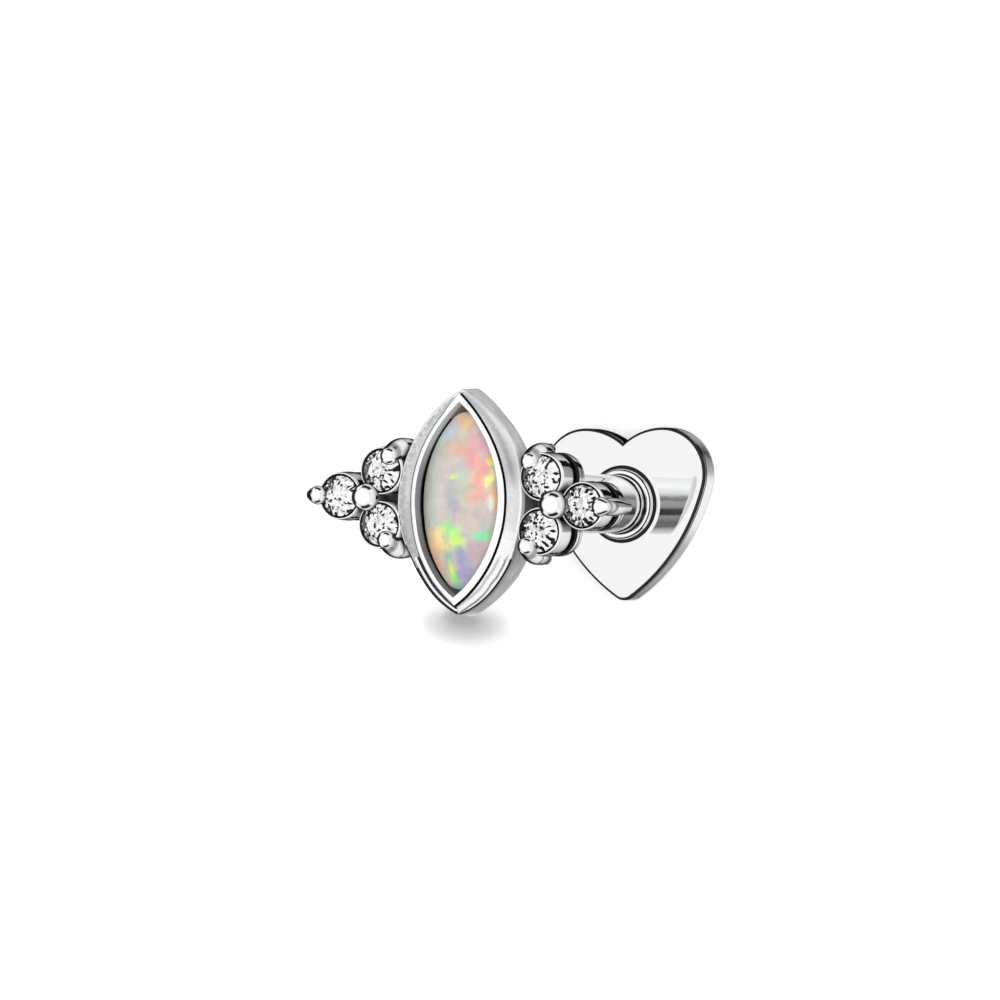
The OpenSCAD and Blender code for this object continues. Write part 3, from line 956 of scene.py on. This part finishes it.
def claw_line(foot, tip, foot_r, tip_r, swell, steps=26):
    """Centres and radii of a claw: round foot, swelling shank and a ball at its tip."""
    foot, tip = np.array(foot), np.array(tip)
    run = tip - foot
    length = float(np.linalg.norm(run))
    run = run / length
    centres, radii = [], []
    for k in range(1, ROUND_STEPS):
        t = math.pi / 2 * k / ROUND_STEPS
        centres.append(foot - run * foot_r * math.cos(t))
        radii.append(foot_r * math.sin(t))
    for k in range(steps + 1):
        share = k / steps
        centres.append(foot + run * length * share)
        radii.append(foot_r + (tip_r - foot_r) * share + swell * math.sin(math.pi * share))
    for k in range(1, TIP_STEPS):
        t = math.pi / 2 * k / TIP_STEPS
        centres.append(tip + run * tip_r * math.sin(t))
        radii.append(tip_r * math.cos(t))
    return centres, radii


def pointed_ball(shell, centre, radius, side, rows=24, n=48):
    """The outer claw's tip: a ball drawn out to a blunt point away from the head."""
    x, y, z = centre
    turns = [TURN * i * side / n for i in range(n)]
    rings = []
    for k in range(1, rows):
        ahead = -math.cos(math.pi * k / rows)
        along = side * ahead * (POINT_REACH if ahead > 0 else radius)
        wide = radius * math.sin(math.pi * k / rows) * (1 - 0.3 * max(ahead, 0.0))
        rings.append([(x + along, y + wide * math.cos(t), z + wide * math.sin(t)) for t in turns])
    shell.loft(rings, BEAD, (BEAD, BEAD))


def on_head(point, side, up=1):
    """A place given on the head's upper right, mirrored to a side and upwards or downwards."""
    return (point[0] * side, point[1] * up, point[2] + HEAD_Z)


def make_claws(shell, side):
    for up in (1, -1):
        foot, tip = on_head(CLAW_FOOT, side, up), on_head(CLAW_TIP, side, up)
        sweep(shell, *claw_line(foot, tip, CLAW_FOOT_R, CLAW_R, CLAW_SWELL), BEAD)
    foot, tip = on_head(OUTER_FOOT, side), on_head(OUTER_TIP, side)
    sweep(shell, *claw_line(foot, tip, OUTER_FOOT_R, OUTER_NECK_R, OUTER_SWELL), BEAD)
    pointed_ball(shell, tip, OUTER_CLAW_R, side)


def make_bar(shell, side):
    """The bar from the bead's post to the bezel, in painted shade."""
    low, high = HEAD_Z + BAR_LOW, HEAD_Z + BAR_HIGH
    section = [(-BAR_HALF, low), (BAR_HALF, low), (BAR_HALF, high), (-BAR_HALF, high)]
    ends = [[(x, y, z) for y, z in section] for x in (side * BAR_X, side * TREFOIL_X)]
    look = HOLLOW if side > 0 else INNER
    shell.loft(ends[::side], look, (look, look))


def make_trefoil(shell, side):
    for place in CUP_TURNS:
        lathe(shell, cup_profile(), CUP_SIDES, *cup_centre(side, place), HEAD_Z)
    make_bead(shell, side * TREFOIL_X)
    make_claws(shell, side)
    make_bar(shell, side)


def make_pin(shell):
    bottom, top = HEAD_Z - PIN_LENGTH + GAP, HEAD_Z + 0.1
    stops = ((0.0, bottom, 0), (PIN_R, bottom, 0.05), (PIN_R, top, 0), (0.0, top, 0))
    lathe(shell, [(*stop, BRIGHT) for stop in stops], PIN_SIDES)


def make_head():
    shell = Shell()
    make_bezel(shell)
    for side in (1, -1):
        make_trefoil(shell, side)
    make_pin(shell)
    metals = [BRIGHT, SHOULDER, INNER, HOLLOW, DARK, LINE, SATIN, SEAT, GLINT, BEAD]
    return shell.build("head_setting_polished", metals)


# Opal
FLAKE_SCALE, FLAKE_SHIFT, BLUR_SCALE, BLUR_SHIFT = 7.0, 0.08, 4.0, 0.12
END_CUT, SIDE_Z, EDGE_DROP = 0.03, 0.6, 0.012
DOME_SHARES = (0.994, 0.985, 0.96, 0.9, 0.82, 0.74, 0.66, 0.58, 0.5, 0.42, 0.34, 0.26, 0.18, 0.1, 0.03)
# Play of colour: x, y, half width, half height, turn in degrees, colour, strength
FLASHES = [
    (-0.62, 0.19, 0.3, 1.1, 4, (0.6, 0.68, 0.59), 0.8),
    (-0.64, 1.3, 0.22, 0.26, -30, (0.54, 0.8, 0.64), 0.9),
    (-0.39, 1.33, 0.17, 0.2, -20, (0.5, 0.7, 0.8), 0.85),
    (-0.2, 1.8, 0.2, 0.1, 0, (0.61, 0.47, 0.3), 0.6),
    (0.01, 1.55, 0.22, 0.15, -35, (0.88, 0.56, 0.28), 0.85),
    (-0.16, 1.08, 0.33, 0.18, 0, (0.78, 0.49, 0.35), 0.6),
    (0.32, 1.06, 0.26, 0.26, 20, (0.8, 0.38, 0.45), 0.8),
    (0.29, 0.77, 0.26, 0.13, -20, (0.95, 0.36, 0.36), 0.62),
    (0.0, 0.95, 0.27, 0.12, 0, (0.91, 0.42, 0.36), 0.5),
    (0.43, 0.46, 0.2, 0.3, 0, (0.98, 0.45, 0.34), 0.75),
    (0.34, 0.12, 0.26, 0.18, 0, (0.93, 0.42, 0.34), 0.62),
    (0.59, 0.79, 0.08, 0.09, 0, (1.0, 0.83, 0.13), 1.0),
    (0.62, 0.46, 0.05, 0.16, -4, (0.95, 0.97, 0.34), 1.0),
    (0.69, 0.08, 0.07, 0.2, 4, (1.0, 0.5, 0.2), 0.9),
    (0.62, -0.04, 0.06, 0.14, 4, (0.86, 0.94, 0.74), 0.9),
    (-0.14, 0.49, 0.1, 0.05, 25, (0.75, 1.0, 0.19), 1.0),
    (0.04, 0.52, 0.15, 0.08, 10, (0.49, 0.75, 0.51), 0.6),
    (-0.14, 0.2, 0.15, 0.14, 0, (0.49, 0.49, 0.51), 0.6),
    (-0.1, -0.12, 0.16, 0.17, 0, (0.45, 0.42, 0.58), 0.75),
    (-0.41, 0.2, 0.11, 0.52, 0, (0.8, 0.6, 0.66), 0.55),
    (0.33, -0.3, 0.29, 0.17, 0, (0.61, 0.49, 0.46), 0.5),
    (0.15, 0.27, 0.15, 0.19, 0, (0.51, 0.62, 0.46), 0.5),
    (0.1, -0.9, 0.55, 0.25, 0, (0.5, 0.46, 0.55), 0.45),
    (-0.68, -0.9, 0.2, 0.3, -10, (1.0, 0.7, 0.42), 1.0),
    (-0.38, -0.9, 0.13, 0.17, 30, (1.0, 0.78, 0.3), 0.9),
    (-0.22, -0.57, 0.26, 0.13, 10, (0.34, 0.92, 0.3), 0.95),
    (-0.06, -0.76, 0.18, 0.2, 30, (0.68, 0.98, 0.22), 1.0),
    (-0.5, -0.68, 0.19, 0.16, 20, (1.0, 0.86, 0.34), 1.0),
    (0.51, -0.66, 0.18, 0.1, -5, (0.22, 0.87, 0.38), 0.95),
    (-0.25, -1.1, 0.13, 0.16, 20, (0.3, 0.5, 0.42), 0.7),
    (0.07, -1.05, 0.17, 0.15, -30, (0.3, 0.35, 0.59), 0.8),
    (0.38, -1.0, 0.22, 0.26, 20, (0.64, 0.42, 0.48), 0.75),
    (-0.53, -1.23, 0.13, 0.28, 20, (0.92, 0.58, 0.38), 0.8),
    (0.11, -1.38, 0.18, 0.22, -15, (0.34, 0.31, 0.61), 0.8),
    (-0.14, -1.44, 0.09, 0.21, 22, (0.25, 0.98, 0.2), 1.0),
    (-0.2, -1.34, 0.05, 0.13, 22, (0.81, 0.87, 0.14), 0.9),
    (-0.07, -1.7, 0.15, 0.12, 0, (0.26, 0.51, 0.51), 0.8),
]

# Faint tints that change from place to place all over the stone: noise scale, seed, tint, share
MOTTLES = [
    (3.1, 2.0, (0.86, 0.5, 0.46), 0.34),
    (3.6, 9.0, (0.45, 0.66, 0.46), 0.34),
    (4.2, 17.0, (0.44, 0.52, 0.7), 0.3),
    (5.2, 31.0, (0.9, 0.66, 0.4), 0.3),
]


def add_flash(n, place, colour, flash, feather):
    """One soft elliptical flash over the colours so far."""
    x, y, w, h, turn, tint, strength = flash
    turned = (0, 0, math.radians(turn))
    spot = {"Vector": place, "Location": (x, y, 0), "Rotation": turned, "Scale": (w, h, 1)}
    node = n.new("ShaderNodeMapping", spot, vector_type="TEXTURE")
    far = n.vector("LENGTH", n.vector("MULTIPLY", node.outputs[0], (1, 1, 0)))
    return n.mix(n.ramp(n.plus(far, feather), 1.6, 0.25, 0.0, strength), colour, tint)


def opal_material():
    values = {"Roughness": 0.35, "Specular IOR Level": 0.25, "Coat Weight": 0.15, "Coat Roughness": 0.06}
    m, n, shader = new_material("precious_opal", values)
    where = n.object_mm()
    # broken edges of the flashes: the coordinates shift from flake to flake
    flakes = n.cells(where, FLAKE_SCALE, "SMOOTH_F1")["Color"]
    blur = n.noise(where, BLUR_SCALE, 0.0, output="Color")
    moved = n.vector("ADD", where, n.vector("ADD", n.sway(flakes, FLAKE_SHIFT), n.sway(blur, BLUR_SHIFT)))
    cloud = n.noise(where, 1.6, 3.0, 0.6)
    colour = n.mix(n.ramp(cloud, 0.35, 0.65), (0.57, 0.58, 0.52), (0.7, 0.58, 0.52))
    for scale, seed, tint, most in MOTTLES:
        patch = n.noise(n.vector("ADD", where, (seed, seed, seed)), scale, 1.0)
        colour = n.mix(n.ramp(patch, 0.45, 0.7, 0.0, most), colour, tint)
    # the edges of the flashes feather out in fine strokes
    feather = n.ramp(n.noise(where, 13.0, 2.0, 0.6, (1.0, 0.45, 1.0)), 0.3, 0.7, -0.16, 0.16)
    for flash in FLASHES:
        colour = add_flash(n, moved, colour, flash, feather)
    # small flakes turn a little towards other hues, and milky clouds change the brightness
    hue = n.ramp(n.split(flakes)[0], 0.0, 1.0, 0.48, 0.525, kind="LINEAR")
    milk = n.ramp(n.noise(where, 4.5, 3.0, 0.6), 0.3, 0.7, 0.95, 1.08)
    turned = n.new("ShaderNodeHueSaturation", {"Hue": hue, "Value": milk, "Color": colour})
    n.fill(shader, {"Base Color": turned.outputs[0]})
    return m


OPAL = opal_material()


def make_opal():
    r, a = OPEN_R - GAP, OPEN_A - GAP
    half = OPAL_H - END_CUT
    end_r = (r * r - OPEN_C**2 - half**2) / (2 * (r - half))
    loop, _ = lens_loop(OPEN_C, 0.0, r, end_r, 90, 30)
    loop = pushed(loop, [BORE_LEAN * move for move in OPEN_LEFT], OPEN_RIGHT)
    dome_r = (a * a + DOME_H**2) / (2 * DOME_H)
    long_r = (OPAL_H**2 + DOME_H**2) / (2 * DOME_H)
    base = HEAD_H - OPAL_SINK - (dome_r - DOME_H)

    def dome(points):
        """Height of the dome over points: round across, and on a larger arc along."""
        y = points[:, 1]
        section = dome_r - long_r + np.sqrt(long_r**2 - y * y)
        return base + np.sqrt(np.maximum(section**2 - points[:, 0] ** 2, 0))

    rings = [at_height(loop, HEAD_Z + z) for z in (FLOOR_T + GAP, SIDE_Z, dome(loop) - EDGE_DROP)]
    rings += [at_height(loop * share, HEAD_Z + dome(loop * share)) for share in DOME_SHARES]
    shell = Shell()
    shell.loft(rings, OPAL, (OPAL, OPAL))
    return shell.build("opal_cabochon", [OPAL], crease=50)


# Clear stones
CELLS_PER_MM = 21.0
STROKE_TURN, STROKE_LENGTH = 0.16, 0.08
FACET_TILT = 0.5


def stone_material(name, x0, y0, seed):
    """Clear stone: small facets that mirror on their own, with painted dark reflections in some
    facets and near their edges, and painted dark radial strokes near its girdle.
    """
    values = {"Metallic": 0.85, "Transmission Weight": 0.3, "IOR": 1.45, "Roughness": 0.06}
    m, n, shader = new_material(name, values)
    where = n.object_mm()
    x, y, _ = n.split(where)
    dx, dy = n.minus(x, x0), n.minus(y, y0)
    far = n.hypot(dx, dy)
    turned = n.times(n.math("ARCTAN2", dy, dx), 1 / STROKE_TURN)
    around = n.new("ShaderNodeCombineXYZ", {0: turned, 1: n.times(far, 1 / STROKE_LENGTH), 2: seed})
    facets = n.cells(where, CELLS_PER_MM)["Color"]
    edge = n.cells(where, CELLS_PER_MM, "DISTANCE_TO_EDGE")["Distance"]
    pick, grey, _ = n.split(facets)
    inner = n.times(n.ramp(pick, 0.13, 0.19, 0.03, 1.0), n.ramp(grey, 0.1, 0.6, 0.6, 1.0))
    inner = n.times(inner, n.ramp(edge, 0.02, 0.09, 0.7, 1.0))
    pick, grey, _ = n.split(n.cells(around.outputs[0], 1.0)["Color"])
    outer = n.times(n.ramp(pick, 0.26, 0.3, 0.02, 1.0), n.ramp(grey, 0.1, 0.5, 0.75, 1.0))
    tone = n.blend(n.ramp(far, 0.19, 0.23), inner, outer)
    colour = n.new("ShaderNodeCombineColor", {k: tone for k in range(3)})
    normal = n.new("ShaderNodeNewGeometry").outputs["Normal"]
    facing = n.vector("NORMALIZE", n.vector("ADD", normal, n.sway(facets, FACET_TILT)))
    n.fill(shader, {"Base Color": colour.outputs[0], "Normal": facing})
    return m


def dress_stones():
    """Gives each stone of the frame its own material, centred on it."""
    for side_name, side in (("right", 1), ("left", -1)):
        for k, place in enumerate(CUP_TURNS):
            name = "%s_%s" % (side_name, place)
            seed = 4.7 * side + 1.9 * k
            look = stone_material("clear_stone_painted_reflection_" + name, *cup_centre(side, place), seed)
            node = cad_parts["stone_" + name]
            node.data.materials.clear()
            node.data.materials.append(look)
            node.visible_glossy = False


dress_stones()

heart = make_heart_back()
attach(heart, "root")
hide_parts("heart_back")

head = make_head()
head.visible_glossy = False
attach(head, "root")
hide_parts("head_setting")

opal = make_opal()
opal.visible_glossy = False
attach(opal, "root")
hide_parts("opal")
